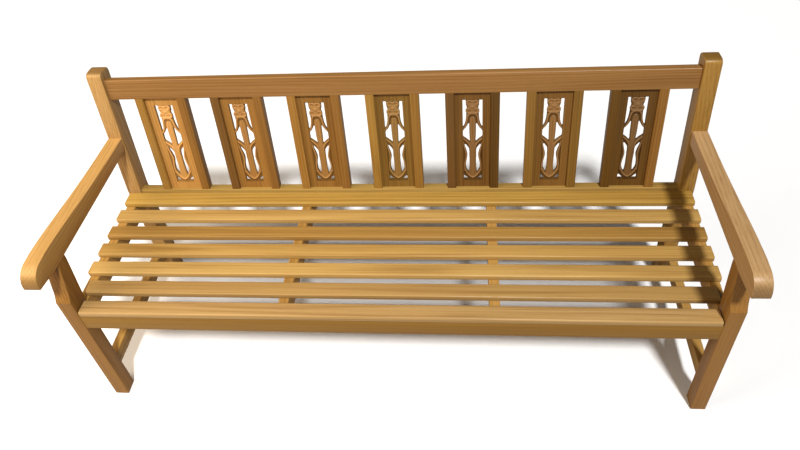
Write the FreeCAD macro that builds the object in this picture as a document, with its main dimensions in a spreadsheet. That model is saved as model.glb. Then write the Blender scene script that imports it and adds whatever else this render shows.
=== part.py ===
import FreeCAD, Part
import os
import Sketcher

doc = FreeCAD.newDocument("Pew")
size = doc.addObject("Spreadsheet::Sheet", "size")

# Driving dimensions in millimetres and degrees
driving = {
    "bench_wide": 1900,
    "seat_top": 446,
    "seat_deep": 515,
    "leg_wide": 45,
    "leg_deep": 48,
    "post_wide": 48,
    "post_deep": 60,
    "rake": 7,
    "post_round": 18,
    "post_front_round": 14.4,
    "back_rise": 449,
    "slat_thick": 18,
    "slat_wide": 48,
    "slat_extra": 7,
    "slat_clear": 7,
    "slat_over": 0.4,
    "slat_inset": 12.5,
    "slat_past": 10,
    "slat_short": 3,
    "slat_ease": 5,
    "rail_front": 2,
    "rail_thick": 28,
    "rail_tall": 61,
    "side_thick": 30,
    "bearer_at": 304.5,
    "stretch_thick": 28,
    "stretch_tall": 48,
    "stretch_low": 106,
    "top_rail_low": 354,
    "top_rail_tall": 67,
    "top_rail_ease": 5,
    "back_set": 9,
    "low_rail_set": 5,
    "low_rail_thick": 32,
    "low_rail_tall": 70,
    "low_rail_top": 0,
    "stile_wide": 28,
    "stile_deep": 28,
    "stile_ease": 3,
    "stile_core": 16,
    "panel_wide": 110,
    "panel_thick": 12,
    "panel_set": 10,
    "open_wide": 61,
    "open_margin": 24.5,
    "open_head": 29,
    "arm_wide": 45,
    "arm_under": 615,
    "arm_thick": 44,
    "arm_nose": 60,
    "arm_swell": 26,
    "arm_lift": 10,
    "arm_tip_drop": 5,
    "arm_crown_set": 4,
    "swell_middle": 0.42,
    "swell_quarter": 0.78,
    "nose_round": 45,
    "lip_round": 8,
    "knee_lift": 2,
    "hip_swell": 11,
    "hip_round": 20,
    "leg_flare": 30,
    "flare_drop": 15,
    "neck_round": 14,
    "sweep_lift": 44,
    "sweep_rise": 18,
    "sweep_start": 10,
    "sweep_end": 38,
    "sweep_round": 25,
    "leg_tenon_set": 2,
    "leg_tenon_wide": 24,
    "tongue": 6,
    "tenon_thick": 12,
    "tenon_long": 20,
    "tenon_short": 12,
    "tenon_rim": 7,
    "tenon_set": 8,
    "tenon_root": 10,
    "fit_gap": 1,
    "screw_wide": 5,
    "screw_head": 10,
    "screw_long": 40,
    "screw_bite": 12,
    "screw_play": 0.2,
    "screw_inset": 60,
}

# Sizes worked out from the driving ones
derived = {
    "half_wide": "bench_wide / 2",
    "leg_inner": "half_wide - leg_wide",
    "post_inner": "half_wide - post_wide",
    "lean_sin": "sin(rake)",
    "lean_cos": "cos(rake)",
    "lean_tan": "tan(rake)",
    "rail_top": "seat_top - slat_thick",
    "rail_low": "rail_top - rail_tall",
    "post_back": "seat_deep + post_deep",
    "rear_reach": "seat_deep + (back_rise - post_round) * lean_sin",
    "rear_most": "rear_reach + (post_deep - post_round) * lean_cos + post_round",
    "y_mid": "(rear_most - arm_nose) / 2",
    "arm_top": "arm_under + arm_thick",
    "arm_crown": "arm_top + arm_swell",
    "arm_tip": "arm_crown - arm_tip_drop",
    "arm_crown_at": "leg_deep / 2 - arm_crown_set",
    "arm_lip": "arm_under + arm_lift",
    "arm_low_back": "seat_deep + (arm_under - seat_top) * lean_tan",
    "arm_top_back": "seat_deep + (arm_top - seat_top) * lean_tan",
    "arm_tenon": "tenon_thick * 4 / 3",
    "sweep_low": "seat_top + sweep_lift",
    "leg_tenon_at": "leg_deep - leg_tenon_set",
    "slat_pitch": "(seat_deep + slat_over - slat_wide - slat_extra - slat_clear) / 6",
    "side_mid": "(leg_deep + seat_deep) / 2",
    "side_span": "seat_deep - leg_deep",
    "rail_back": "rail_front + rail_thick",
    "low_rail_low": "low_rail_top - low_rail_tall",
    "back_tall": "top_rail_low - low_rail_top",
    "unit_wide": "panel_wide + 2 * stile_wide",
    "unit_gap": "(2 * post_inner - 7 * unit_wide) / 8",
    "unit_pitch": "unit_wide + unit_gap",
    "panel_front": "back_set + panel_set",
    "open_half": "open_wide / 2",
    "open_low": "low_rail_top + open_margin",
    "open_tall": "top_rail_low - open_head - open_low",
    "low_tenon": "post_wide - leg_wide + (side_thick - tenon_thick) / 2 - 2",
    "stile_tenon": "back_set + stile_deep / 2",
    "screw_seat": "rail_top + screw_bite - screw_long",
    "head_tall": "screw_head * 0.4",
    "slat_line": "slat_wide / 2 - slat_over",
    "front_line": "rail_front + rail_thick / 2",
    "side_at": "leg_inner + side_thick / 2",
    "front_in": "bearer_at + screw_inset",
    "front_out": "leg_inner - screw_inset",
}

row = 0
for alias, value in list(driving.items()) + [(k, "=" + v) for k, v in derived.items()]:
    row += 1
    size.set("A%d" % row, str(value))
    size.setAlias("A%d" % row, alias)
doc.recompute()


def bind(thing, prop, text):
    """Ties a property to sizes; every sheet name in the text is written bare."""
    words = []
    word = ""
    for letter in text + " ":
        if letter.isalnum() or letter == "_":
            word += letter
            continue
        words.append("size." + word if word in names else word)
        words.append(letter)
        word = ""
    thing.setExpression(prop, "".join(words).strip())


names = set(driving) | set(derived)
normals = {"XY": 1, "XZ": -1, "YZ": 1}


def sketch_on(body, name, plane, lift="0", raked=False):
    sketch = body.newObject("Sketcher::SketchObject", name)
    origin = [f for f in body.Origin.OriginFeatures if f.Role == plane + "_Plane"][0]
    sketch.AttachmentSupport = [(origin, "")]
    sketch.MapMode = "FlatFace"
    if raked:
        turn = FreeCAD.Rotation(FreeCAD.Vector(0, 0, 1), -driving["rake"])
        sketch.AttachmentOffset = FreeCAD.Placement(FreeCAD.Vector(), turn)
        bind(sketch, "AttachmentOffset.Base.x", "seat_deep")
        bind(sketch, "AttachmentOffset.Base.y", "seat_top")
        bind(sketch, "AttachmentOffset.Rotation.Angle", "-rake")
    if lift != "0":
        sign = "" if normals[plane] > 0 else "-"
        bind(sketch, "AttachmentOffset.Base.z", "%s(%s)" % (sign, lift))
    return sketch


def outline(sketch, points):
    """Closed run of straight lines whose corners are tied to sizes."""
    first = sketch.GeometryCount
    count = len(points)
    spots = []
    for index in range(count):
        turn = FreeCAD.Rotation(FreeCAD.Vector(0, 0, 1), 360.0 * index / count)
        spots.append(turn.multVec(FreeCAD.Vector(100, 0, 0)))
    for index in range(count):
        sketch.addGeometry(Part.LineSegment(spots[index], spots[(index + 1) % count]))
    for index in range(count):
        line = first + index
        after = first + (index + 1) % count
        sketch.addConstraint(Sketcher.Constraint("Coincident", line, 2, after, 1))
    for index, corner in enumerate(points):
        for kind, text, start in zip(("DistanceX", "DistanceY"), corner, spots[index]):
            rule = Sketcher.Constraint(kind, -1, 1, first + index, 1, start)
            number = sketch.addConstraint(rule)
            bind(sketch, "Constraints[%d]" % number, text)


def box(sketch, left, right, low, high):
    outline(sketch, [(left, low), (right, low), (right, high), (left, high)])


def rounds(sketch, spots, wide):
    """Circles on centres tied to sizes."""
    for across, along in spots:
        ring = sketch.addGeometry(Part.Circle(FreeCAD.Vector(), FreeCAD.Vector(0, 0, 1), 3))
        rules = [
            (Sketcher.Constraint("DistanceX", -1, 1, ring, 3, 0), across),
            (Sketcher.Constraint("DistanceY", -1, 1, ring, 3, 0), along),
            (Sketcher.Constraint("Diameter", ring, 6), wide),
        ]
        for rule, text in rules:
            bind(sketch, "Constraints[%d]" % sketch.addConstraint(rule), text)


def grow(body, name, sketch, plane, length, way=0, cut=False):
    """Pad or pocket: way 0 is both ways from the sketch, 1 or -1 along the axis."""
    feature = body.newObject("PartDesign::Pocket" if cut else "PartDesign::Pad", name)
    feature.Profile = sketch
    bind(feature, "Length", length)
    if way == 0:
        feature.SideType = "Symmetric"
    else:
        forward = way == normals[plane]
        feature.Reversed = forward if cut else not forward
    sketch.Visibility = False
    body.Tip = feature
    return feature


def new_body(name, x="0", y="0", z="0"):
    body = doc.addObject("PartDesign::Body", name)
    body.Label = name
    bind(body, "Placement.Base.x", x)
    bind(body, "Placement.Base.y", "%s - y_mid" % y)
    bind(body, "Placement.Base.z", z)
    return body


def raked_body(name, x="0"):
    body = doc.addObject("PartDesign::Body", name)
    body.Label = name
    turn = FreeCAD.Rotation(FreeCAD.Vector(1, 0, 0), -driving["rake"])
    body.Placement = FreeCAD.Placement(FreeCAD.Vector(), turn)
    bind(body, "Placement.Base.x", x)
    bind(body, "Placement.Base.y", "seat_deep - y_mid")
    bind(body, "Placement.Base.z", "seat_top")
    bind(body, "Placement.Rotation.Angle", "-rake")
    return body


def round_edges(body, name, radius, wanted):
    """Fillet on the edges whose two ends both pass the test."""
    doc.recompute()
    base = body.Tip
    found = []
    for index, edge in enumerate(base.Shape.Edges):
        ends = [v.Point for v in edge.Vertexes]
        if len(ends) == 2 and all(wanted(point) for point in ends):
            found.append("Edge%d" % (index + 1))
    fillet = body.newObject("PartDesign::Fillet", name)
    fillet.Base = (base, found)
    bind(fillet, "Radius", radius)
    body.Tip = fillet
    return fillet


def near(value, target, slack=0.6):
    return abs(value - target) < slack


sides = {"left": -1, "right": 1}


def screw_holes(body, name, spots):
    """Counterbores from below, then clearance holes through to the slats."""
    sinks = sketch_on(body, name + "_sinks", "XY", "rail_low")
    rounds(sinks, spots, "screw_head + screw_play")
    grow(body, name + "_sink_cut", sinks, "XY", "screw_seat - rail_low", 1, True)
    holes = sketch_on(body, name + "_holes", "XY", "rail_low")
    rounds(holes, spots, "screw_wide + screw_play")
    grow(body, name + "_hole_cut", holes, "XY", "rail_tall + fit_gap", 1, True)


# Front legs: straight below the seat, swept back above it, tenon on top
def front_leg(name, side):
    body = new_body(name, "%d * leg_inner" % side)
    shape = sketch_on(body, name + "_side", "YZ")
    outline(shape, [
        ("0", "0"),
        ("leg_deep", "0"),
        ("leg_deep", "rail_top"),
        ("leg_deep + hip_swell", "seat_top + knee_lift"),
        ("leg_deep + leg_flare", "arm_under - flare_drop"),
        ("leg_deep + leg_flare", "arm_under"),
        ("sweep_end", "arm_under"),
        ("sweep_start", "sweep_low + sweep_rise"),
        ("0", "sweep_low"),
    ])
    grow(body, name + "_blank", shape, "YZ", "leg_wide", side)
    top = sketch_on(body, name + "_top", "YZ", "%d * (leg_wide - arm_wide / 2)" % side)
    box(top, "leg_tenon_at", "leg_tenon_at + leg_tenon_wide",
        "arm_under - tenon_root", "arm_under + tenon_long")
    grow(body, name + "_tenon", top, "YZ", "arm_tenon")
    front = sketch_on(body, name + "_front", "YZ")
    box(front, "rail_front + tenon_set", "rail_front + tenon_set + tenon_thick",
        "rail_low + tenon_rim", "rail_top - tenon_rim")
    grow(body, name + "_front_mortise", front, "YZ", "tenon_long + fit_gap", side, True)
    back = sketch_on(body, name + "_back", "XZ", "leg_deep")
    box(back, "%d * (side_thick - tenon_thick) / 2" % side,
        "%d * (side_thick + tenon_thick) / 2" % side,
        "rail_low + tenon_rim", "rail_top - tenon_rim")
    box(back, "%d * (leg_wide - tenon_thick) / 2" % side,
        "%d * (leg_wide + tenon_thick) / 2" % side,
        "stretch_low + tenon_rim", "stretch_low + stretch_tall - tenon_rim")
    grow(body, name + "_back_mortises", back, "XZ", "tenon_short + fit_gap", -1, True)
    sweep = size.get("sweep_low") + size.get("sweep_rise")
    hip = size.get("seat_top") + size.get("knee_lift")
    neck = size.get("arm_under") - size.get("flare_drop")
    flare = size.get("leg_deep") + size.get("leg_flare")
    round_edges(body, name + "_sweep", "sweep_round", lambda p: near(p.z, sweep))
    round_edges(body, name + "_hip", "hip_round", lambda p: near(p.z, hip))
    round_edges(body, name + "_neck", "neck_round",
                lambda p: near(p.z, neck) and near(p.y, flare))
    return body


# Rear posts: upright below the seat, raked above it, top rounded over
def rear_post(name, side):
    body = new_body(name, "%d * post_inner" % side)
    shape = sketch_on(body, name + "_side", "YZ")
    outline(shape, [
        ("seat_deep", "0"),
        ("post_back", "0"),
        ("post_back", "seat_top - post_deep * tan(rake / 2)"),
        ("seat_deep + back_rise * lean_sin + post_deep * lean_cos",
         "seat_top + back_rise * lean_cos - post_deep * lean_sin"),
        ("seat_deep + back_rise * lean_sin", "seat_top + back_rise * lean_cos"),
        ("seat_deep", "seat_top"),
    ])
    grow(body, name + "_blank", shape, "YZ", "post_wide", side)
    rails = sketch_on(body, name + "_rails", "YZ", raked=True)
    box(rails, "back_set + tenon_set", "back_set + tenon_set + tenon_thick",
        "top_rail_low + tenon_rim", "top_rail_low + top_rail_tall - tenon_rim")
    grow(body, name + "_top_mortise", rails, "YZ", "tenon_long + fit_gap", side, True)
    lower = sketch_on(body, name + "_lower", "YZ", raked=True)
    box(lower, "low_rail_set + tenon_set", "low_rail_set + tenon_set + tenon_thick",
        "low_rail_low + tenon_rim", "low_rail_top - tenon_rim")
    grow(body, name + "_lower_mortise", lower, "YZ", "low_tenon + fit_gap", side, True)
    front = sketch_on(body, name + "_front", "XZ", "seat_deep")
    shift = "(post_wide - leg_wide)"
    box(front, "%d * (%s + (side_thick - tenon_thick) / 2)" % (side, shift),
        "%d * (%s + (side_thick + tenon_thick) / 2)" % (side, shift),
        "rail_low + tenon_rim", "rail_top - tenon_rim")
    box(front, "%d * (%s + (leg_wide - tenon_thick) / 2)" % (side, shift),
        "%d * (%s + (leg_wide + tenon_thick) / 2)" % (side, shift),
        "stretch_low + tenon_rim", "stretch_low + stretch_tall - tenon_rim")
    grow(body, name + "_front_mortises", front, "XZ", "tenon_short + fit_gap", 1, True)
    arm = sketch_on(body, name + "_arm", "XZ", "arm_low_back + tenon_long + fit_gap")
    box(arm, "%d * (post_wide - (arm_wide - arm_tenon) / 2)" % side,
        "%d * (post_wide - (arm_wide + arm_tenon) / 2)" % side,
        "arm_under + tenon_rim", "arm_top - tenon_rim")
    grow(body, name + "_arm_mortise", arm, "XZ", "post_deep", -1, True)
    high = size.get("seat_top") + size.get("back_rise") * size.get("lean_cos")
    drop = size.get("post_deep") * size.get("lean_sin")
    round_edges(body, name + "_crown_front", "post_front_round", lambda p: near(p.z, high))
    round_edges(body, name + "_crown_back", "post_round", lambda p: near(p.z, high - drop))
    return body


# Armrests: long top with a rounded nose, tenon into the post
def armrest(name, side):
    body = new_body(name, "%d * (half_wide - arm_wide / 2)" % side)
    shape = sketch_on(body, name + "_side", "YZ")
    outline(shape, [
        ("-arm_nose", "arm_lip"),
        ("arm_crown_at", "arm_under"),
        ("arm_low_back", "arm_under"),
        ("arm_top_back", "arm_top"),
        ("seat_deep / 2", "arm_top + arm_swell * swell_middle"),
        ("seat_deep / 4", "arm_top + arm_swell * swell_quarter"),
        ("arm_crown_at", "arm_crown"),
        ("-arm_nose", "arm_tip"),
    ])
    grow(body, name + "_blank", shape, "YZ", "arm_wide")
    tail = sketch_on(body, name + "_tail", "YZ")
    box(tail, "arm_low_back - tenon_root", "arm_low_back + tenon_long",
        "arm_under + tenon_rim", "arm_top - tenon_rim")
    grow(body, name + "_tenon", tail, "YZ", "arm_tenon")
    seat = sketch_on(body, name + "_leg_seat", "XY", "arm_under")
    box(seat, "-arm_tenon / 2", "arm_tenon / 2",
        "leg_tenon_at", "leg_tenon_at + leg_tenon_wide")
    grow(body, name + "_mortise", seat, "XY", "tenon_long + fit_gap", 1, True)
    front = -size.get("arm_nose")
    tip = size.get("arm_tip")
    lip = size.get("arm_lip")
    round_edges(body, name + "_nose", "nose_round",
                lambda p: near(p.y, front) and near(p.z, tip))
    round_edges(body, name + "_lip_ease", "lip_round",
                lambda p: near(p.y, front) and near(p.z, lip))
    return body


# Level rail between two faces, with a thinner tenon at both ends
def tenoned_rail(body, name, plane, section, tenon, span, reach):
    face = sketch_on(body, name + "_section", plane[0], plane[1])
    box(face, *section)
    grow(body, name + "_rail", face, plane[0], span)
    core = sketch_on(body, name + "_core", plane[0], plane[1])
    box(core, *tenon)
    grow(body, name + "_tenons", core, plane[0], "%s + 2 * %s" % (span, reach))


legs = [front_leg("front_leg_" + word, side) for word, side in sides.items()]
posts = [rear_post("rear_post_" + word, side) for word, side in sides.items()]
arms = [armrest("armrest_" + word, side) for word, side in sides.items()]

# Front seat rail, with housings for the two bearers
front = new_body("front_seat_rail")
tenoned_rail(front, "front", ("YZ", "0"),
             ("rail_front", "rail_back", "rail_low", "rail_top"),
             ("rail_front + tenon_set", "rail_front + tenon_set + tenon_thick",
              "rail_low + tenon_rim", "rail_top - tenon_rim"),
             "2 * leg_inner", "tenon_long")
housing = sketch_on(front, "front_housings", "XZ", "rail_back")
for sign in (-1, 1):
    box(housing, "%d * bearer_at - tenon_thick / 2" % sign,
        "%d * bearer_at + tenon_thick / 2" % sign,
        "rail_low + tenon_rim", "rail_top - tenon_rim")
grow(front, "front_housing_cut", housing, "XZ", "tenon_short + fit_gap", -1, True)
front_spots = [(at, "front_line") for at in
               ("-front_out", "-front_in", "front_in", "front_out")]
screw_holes(front, "front", front_spots)

# Side seat rails and lower side stretchers
for word, side in sides.items():
    rail = new_body("side_seat_rail_" + word,
                    "%d * (leg_inner + side_thick / 2)" % side, "side_mid")
    tenoned_rail(rail, "side_" + word, ("XZ", "0"),
                 ("-side_thick / 2", "side_thick / 2", "rail_low", "rail_top"),
                 ("-tenon_thick / 2", "tenon_thick / 2",
                  "rail_low + tenon_rim", "rail_top - tenon_rim"),
                 "side_span", "tenon_short")
    screw_holes(rail, "side_" + word,
                [("0", "slat_line + %d * slat_pitch - side_mid" % step)
                 for step in range(1, 7)])
    brace = new_body("side_stretcher_" + word,
                     "%d * (half_wide - leg_wide / 2)" % side, "side_mid")
    tenoned_rail(brace, "brace_" + word, ("XZ", "0"),
                 ("-stretch_thick / 2", "stretch_thick / 2",
                  "stretch_low", "stretch_low + stretch_tall"),
                 ("-tenon_thick / 2", "tenon_thick / 2",
                  "stretch_low + tenon_rim", "stretch_low + stretch_tall - tenon_rim"),
                 "side_span", "tenon_short")

# Seat bearers: square at the front, cut to the lean of the lower back rail behind
for word, side in sides.items():
    name = "seat_bearer_" + word
    bearer = new_body(name, "%d * bearer_at" % side)
    shape = sketch_on(bearer, name + "_side", "YZ")
    back = "seat_deep + low_rail_set / lean_cos + (%s - seat_top) * lean_tan"
    outline(shape, [
        ("rail_back", "rail_low"),
        (back % "rail_low", "rail_low"),
        (back % "rail_top", "rail_top"),
        ("rail_back", "rail_top"),
    ])
    grow(bearer, name + "_blank", shape, "YZ", "side_thick")
    nose = sketch_on(bearer, name + "_nose", "YZ")
    box(nose, "rail_back - tenon_short", "rail_back + tenon_root",
        "rail_low + tenon_rim", "rail_top - tenon_rim")
    grow(bearer, name + "_front_tenon", nose, "YZ", "tenon_thick")
    tail = sketch_on(bearer, name + "_tail", "YZ", raked=True)
    box(tail, "low_rail_set - tenon_root", "low_rail_set + tenon_short",
        "low_rail_low + 2 * tenon_rim", "low_rail_low + 2 * tenon_rim + rail_tall / 2")
    grow(bearer, name + "_rear_tenon", tail, "YZ", "tenon_thick")
    screw_holes(bearer, name, [("0", "slat_line + %d * slat_pitch" % step)
                               for step in range(1, 7)])

# Seat slats: number 1 at the back, number 7 between the front legs
rows = {7: [across for across, along in front_spots]}
for number in range(1, 7):
    rows[number] = ["-side_at", "-bearer_at", "bearer_at", "side_at"]
for number in range(1, 8):
    name = "seat_slat_%d" % number
    slat = new_body(name, "0", "(%d * slat_pitch - slat_over)" % (7 - number), "rail_top")
    section = sketch_on(slat, name + "_section", "YZ")
    wide = "slat_wide + slat_extra" if number == 1 else "slat_wide"
    box(section, "0", wide, "0", "slat_thick")
    reach = "2 * (half_wide - slat_inset)"
    if number == 6:
        reach = "2 * (leg_inner + slat_past)"
    if number == 7:
        reach = "2 * (leg_inner - slat_short)"
    grow(slat, name + "_board", section, "YZ", reach)
    round_edges(slat, name + "_ease", "slat_ease", lambda p: near(p.z, size.get("slat_thick")))
    pilots = sketch_on(slat, name + "_pilots", "XY")
    line = "front_line + slat_over" if number == 7 else "slat_wide / 2"
    rounds(pilots, [(across, line) for across in rows[number]],
           "screw_wide + screw_play")
    grow(slat, name + "_pilot_holes", pilots, "XY", "screw_bite + fit_gap", 1, True)

# Slat screws, driven up from below
screws = new_body("seat_screws")
screws.AllowCompound = True
spots = [(across, "slat_line + %d * slat_pitch" % (7 - number))
         for number in range(1, 7) for across in rows[number]] + front_spots
shanks = sketch_on(screws, "screw_shanks", "XY", "screw_seat")
rounds(shanks, spots, "screw_wide")
grow(screws, "screw_bodies", shanks, "XY", "screw_long", 1)
heads = sketch_on(screws, "screw_heads", "XY", "screw_seat")
rounds(heads, spots, "screw_head")
grow(screws, "screw_caps", heads, "XY", "head_tall", -1)

# Back rails: grooves take the panels, mortises take the stile tenons
units = [number - 4 for number in range(1, 8)]


def back_rail(name, low, high, near_face, thick, reach, edge, depth_way):
    body = raked_body(name)
    tenoned_rail(body, name, ("YZ", "0"), (near_face, near_face + " + " + thick, low, high),
                 (near_face + " + tenon_set", near_face + " + tenon_set + tenon_thick",
                  low + " + tenon_rim", high + " - tenon_rim"), "2 * post_inner", reach)
    groove = sketch_on(body, name + "_grooves", "XY", edge)
    for unit in units:
        box(groove, "%d * unit_pitch - panel_wide / 2" % unit,
            "%d * unit_pitch + panel_wide / 2" % unit,
            "panel_front", "panel_front + panel_thick")
    grow(body, name + "_groove_cut", groove, "XY", "tongue + fit_gap", depth_way, True)
    mortise = sketch_on(body, name + "_mortises", "XY", edge)
    for unit in units:
        for sign in (-1, 1):
            middle = "%d * unit_pitch + %d * (panel_wide + stile_wide) / 2" % (unit, sign)
            box(mortise, middle + " - stile_core / 2", middle + " + stile_core / 2",
                "stile_tenon - tenon_thick / 2", "stile_tenon + tenon_thick / 2")
    grow(body, name + "_mortise_cut", mortise, "XY", "tenon_long + fit_gap", depth_way, True)
    return body


top = back_rail("top_back_rail", "top_rail_low", "top_rail_low + top_rail_tall",
                "back_set", "rail_thick", "tenon_long", "top_rail_low", 1)
low = back_rail("lower_back_rail", "low_rail_low", "low_rail_top",
                "low_rail_set", "low_rail_thick", "low_tenon", "low_rail_top", -1)
notch = sketch_on(low, "lower_back_rail_notches", "XZ", "low_rail_set")
for sign in (-1, 1):
    box(notch, "%d * bearer_at - tenon_thick / 2" % sign,
        "%d * bearer_at + tenon_thick / 2" % sign,
        "low_rail_low + 2 * tenon_rim", "low_rail_low + 2 * tenon_rim + rail_tall / 2")
grow(low, "lower_back_rail_notch_cut", notch, "XZ", "tenon_short + fit_gap", 1, True)
crest = size.get("top_rail_low") + size.get("top_rail_tall")
inner = size.get("post_inner")
round_edges(top, "top_back_rail_ease", "top_rail_ease",
            lambda p: near(p.z, crest) and near(abs(p.x), inner))


# Stiles: rounded front edges, a tenon at both ends, a groove facing the panel
def stile(number, unit, sign):
    name = "back_stile_%d" % number
    body = raked_body(name, "%d * unit_pitch + %d * (panel_wide + stile_wide) / 2"
                      % (unit, sign))
    face = sketch_on(body, name + "_front", "XZ", "back_set")
    box(face, "-stile_wide / 2", "stile_wide / 2", "low_rail_top", "top_rail_low")
    grow(body, name + "_board", face, "XZ", "stile_deep", 1)
    front = size.get("back_set")
    round_edges(body, name + "_ease", "stile_ease", lambda p: near(p.y, front))
    core = sketch_on(body, name + "_core", "XZ", "stile_tenon")
    box(core, "-stile_core / 2", "stile_core / 2",
        "low_rail_top - tenon_long", "top_rail_low + tenon_long")
    grow(body, name + "_tenons", core, "XZ", "tenon_thick")
    groove = sketch_on(body, name + "_groove", "YZ", "%d * stile_wide / 2" % -sign)
    box(groove, "panel_front", "panel_front + panel_thick", "low_rail_top", "top_rail_low")
    grow(body, name + "_groove_cut", groove, "YZ", "tongue + fit_gap", sign, True)
    return body


# Carved panels: side and end tongues, pierced on both sides of the stem
piercings = {
    "flower": [(1, 1), (0.63, 1), (0.63, 0.81), (0.93, 0.66), (1, 0.66)],
    "lens": [(0.33, 0.71), (0.87, 0.635), (0.8, 0.555), (0.27, 0.5)],
    "stem": [(0.67, 0.42), (0.3, 0.395), (0.3, 0.1), (0.67, 0.15), (0.47, 0.28)],
    "foot": [(0.95, 0), (0.95, 0.055), (0.35, 0)],
}


def panel(number, unit):
    name = "carved_panel_%d" % number
    body = raked_body(name, "%d * unit_pitch" % unit)
    face = sketch_on(body, name + "_face", "XZ", "panel_front")
    half = "panel_wide / 2"
    wide = "panel_wide / 2 + tongue"
    outline(face, [
        ("-" + half, "low_rail_top - tongue"),
        (half, "low_rail_top - tongue"),
        (half, "low_rail_top"),
        (wide, "low_rail_top"),
        (wide, "top_rail_low"),
        (half, "top_rail_low"),
        (half, "top_rail_low + tongue"),
        ("-" + half, "top_rail_low + tongue"),
        ("-" + half, "top_rail_low"),
        ("-(%s)" % wide, "top_rail_low"),
        ("-(%s)" % wide, "low_rail_top"),
        ("-" + half, "low_rail_top"),
    ])
    grow(body, name + "_board", face, "XZ", "panel_thick", 1)
    cuts = sketch_on(body, name + "_piercings", "XZ", "panel_front")
    for corners in piercings.values():
        for sign in (-1, 1):
            outline(cuts, [("%g * open_half" % (sign * across),
                            "open_low + %g * open_tall" % up) for across, up in corners])
    grow(body, name + "_pierced", cuts, "XZ", "panel_thick + fit_gap", 1, True)
    return body


number = 0
for index, unit in enumerate(units):
    for sign in (-1, 1):
        number += 1
        stile(number, unit, sign)
    panel(index + 1, unit)

doc.recompute()
bodies = [item for item in doc.Objects if item.TypeId == "PartDesign::Body"]
for item in doc.Objects:
    for state in ("Invalid", "Error"):
        if state in item.State:
            raise RuntimeError("%s is not sound" % item.Name)
for item in bodies:
    count = len(spots) if item == screws else 1
    if item.Shape.isNull() or not item.Shape.isValid() or len(item.Shape.Solids) != count:
        raise RuntimeError("%s has no sound solid" % item.Label)

os.makedirs("parts", exist_ok=True)
for item in bodies:
    item.Shape.exportStep("parts/%s.step" % item.Label)
print("pieces written:", len(bodies))
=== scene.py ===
import math
import random

import bmesh
import bpy
from mathutils import Matrix, Vector


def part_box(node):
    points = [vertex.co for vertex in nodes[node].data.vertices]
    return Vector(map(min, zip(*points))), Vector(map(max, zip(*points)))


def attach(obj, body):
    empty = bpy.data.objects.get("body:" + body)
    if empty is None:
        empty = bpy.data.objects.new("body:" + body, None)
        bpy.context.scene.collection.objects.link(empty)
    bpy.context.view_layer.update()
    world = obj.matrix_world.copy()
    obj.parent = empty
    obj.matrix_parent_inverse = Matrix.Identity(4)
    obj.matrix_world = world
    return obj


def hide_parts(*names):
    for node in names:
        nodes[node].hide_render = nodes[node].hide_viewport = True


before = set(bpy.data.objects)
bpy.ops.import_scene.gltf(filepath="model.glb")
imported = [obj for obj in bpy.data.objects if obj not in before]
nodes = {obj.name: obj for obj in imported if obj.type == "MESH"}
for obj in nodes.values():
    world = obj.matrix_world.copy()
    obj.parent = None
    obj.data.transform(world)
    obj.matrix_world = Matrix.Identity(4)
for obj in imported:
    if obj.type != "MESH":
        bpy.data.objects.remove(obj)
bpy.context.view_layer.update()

mm = 0.001

# The back leans about a line at the top of the seat, along the front of the posts
lean = {"degrees": 7}
hinge = Vector((0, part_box("rear_post_left")[0].y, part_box("seat_slat_1")[1].z))
leanTurn = Matrix.Rotation(math.radians(-lean["degrees"]), 4, "X")
upright = (Matrix.Translation(hinge) @ leanTurn).inverted()


def leanBox(node):
    spots = [upright @ v.co for v in nodes[node].data.vertices]
    low = Vector([min(p[i] for p in spots) for i in range(3)])
    high = Vector([max(p[i] for p in spots) for i in range(3)])
    return low, high


# Where the camera stands, how it is turned (in degrees) and its lens
viewing = {
    "place": (0.2438, -1.3951, 1.9876),
    "turn": -8.01,
    "down": 41.81,
    "tilt": -5.75,
    "lens": 30.4,
    "shift": (-0.002, -0.0641),
    "sensor": 36,
    "nearest": 0.05,
}


def placeCamera():
    turn, down, tilt = (math.radians(viewing[key]) for key in ("turn", "down", "tilt"))
    ahead = Vector((math.sin(turn) * math.cos(down), math.cos(turn) * math.cos(down),
                    -math.sin(down)))
    right = Vector((math.cos(turn), -math.sin(turn), 0))
    above = right.cross(ahead)
    across = right * math.cos(tilt) + above * math.sin(tilt)
    up = above * math.cos(tilt) - right * math.sin(tilt)
    camera = bpy.data.objects.new("camera", bpy.data.cameras.new("camera"))
    bpy.context.scene.collection.objects.link(camera)
    basis = Matrix((across, up, -ahead)).transposed().to_4x4()
    camera.matrix_world = Matrix.Translation(viewing["place"]) @ basis
    camera.data.lens = viewing["lens"]
    camera.data.sensor_width = viewing["sensor"]
    camera.data.shift_x, camera.data.shift_y = viewing["shift"]
    camera.data.clip_start = viewing["nearest"]
    bpy.context.scene.camera = camera


placeCamera()
print("camera placed")


# A Flow is one shader value that can be added, multiplied and compared
class Flow:
    def __init__(self, tree, socket):
        self.tree = tree
        self.socket = socket

    def sum(self, operation, other, turned=False):
        node = self.tree.nodes.new("ShaderNodeMath")
        node.operation = operation
        pair = (other, self) if turned else (self, other)
        for slot, value in zip(node.inputs, pair):
            if isinstance(value, Flow):
                self.tree.links.new(value.socket, slot)
            else:
                slot.default_value = value
        return Flow(self.tree, node.outputs[0])

    def __add__(self, other):
        return self.sum("ADD", other)

    def __radd__(self, other):
        return self.sum("ADD", other)

    def __sub__(self, other):
        return self.sum("SUBTRACT", other)

    def __rsub__(self, other):
        return self.sum("SUBTRACT", other, True)

    def __mul__(self, other):
        return self.sum("MULTIPLY", other)

    def __rmul__(self, other):
        return self.sum("MULTIPLY", other)

    def __pow__(self, other):
        return self.sum("POWER", other)

    def __abs__(self):
        return self.sum("ABSOLUTE", 0.0)

    def atLeast(self, other):
        return self.sum("MAXIMUM", other)


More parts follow.
